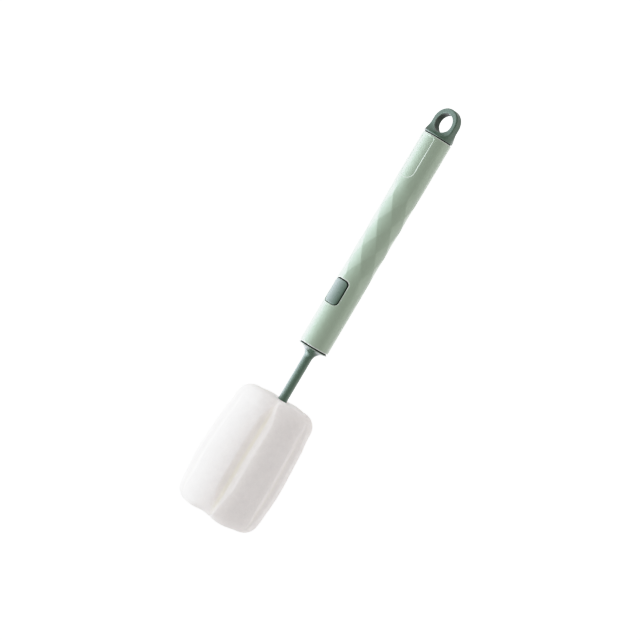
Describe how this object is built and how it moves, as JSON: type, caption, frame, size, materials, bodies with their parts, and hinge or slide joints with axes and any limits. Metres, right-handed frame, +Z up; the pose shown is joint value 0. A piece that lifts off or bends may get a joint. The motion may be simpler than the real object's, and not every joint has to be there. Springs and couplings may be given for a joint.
{
  "type": "bottle brush",
  "caption": "Sponge bottle brush: lobed foam head on a plug-in stem, round faceted handle with a thumb release button and a hanging eye.",
  "frame": {"origin": "centre of the hanging eye, on the brush's axis", "axes": "+Z up along the brush's axis, from the foam head to the eye; -Y is the side of the thumb button and the panel, and the eye's hole runs along Y"},
  "size_m": [0.0626, 0.0624, 0.3148],
  "materials": {
    "pale_plastic": "satin",
    "dark_plastic": "satin",
    "white_plastic": "satin",
    "spring_steel": "satin",
    "foam": "matte"
  },
  "bodies": {
    "handle": {"handle_shell": "pale_plastic", "hanger_cap": "dark_plastic", "latch_sleeve": "white_plastic", "button_spring": "spring_steel"},
    "button": {"release_button": "dark_plastic"},
    "head": {"brush_stem": "dark_plastic", "latch_spring": "spring_steel", "sponge_core": "white_plastic", "sponge_head": "foam"}
  },
  "joints": [
    {"name": "button_press", "type": "slide", "parent": "handle", "child": "button", "axis": [0, 1, 0], "range_m": [0, 0.0016], "stiffness_N_per_m": 1500, "springref_m": -0.001, "deforming": ["button_spring", "latch_spring"]},
    {"name": "head_pull", "type": "slide", "parent": "handle", "child": "head", "axis": [0, 0, -1], "range_m": [0, 0.058], "deforming": ["latch_spring"]}
  ]
}
